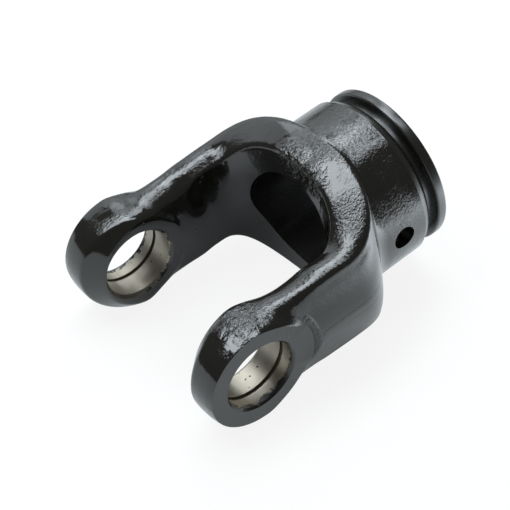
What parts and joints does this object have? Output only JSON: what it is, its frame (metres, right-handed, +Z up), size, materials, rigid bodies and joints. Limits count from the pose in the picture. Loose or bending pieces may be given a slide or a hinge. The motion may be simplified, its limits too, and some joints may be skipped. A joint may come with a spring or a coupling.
{
  "type": "forged universal joint yoke",
  "caption": "Forged drive shaft yoke: a fork with cross bearing bores in its ears, on a barrel with a lobed shaft hole, pin hole, turned groove and end flange.",
  "frame": {"origin": "joint centre, where the axis of the cross bores meets the shaft axis", "axes": "+X along the shaft axis from the joint centre to the flanged end, +Y along the axis of the cross bores, +Z up"},
  "size_m": [0.1303, 0.0996, 0.073],
  "materials": {
    "yoke": "gloss black enamel over forged skin, bearing bores bare ground steel"
  },
  "bodies": {
    "root": {"yoke": "yoke"}
  },
  "joints": []
}
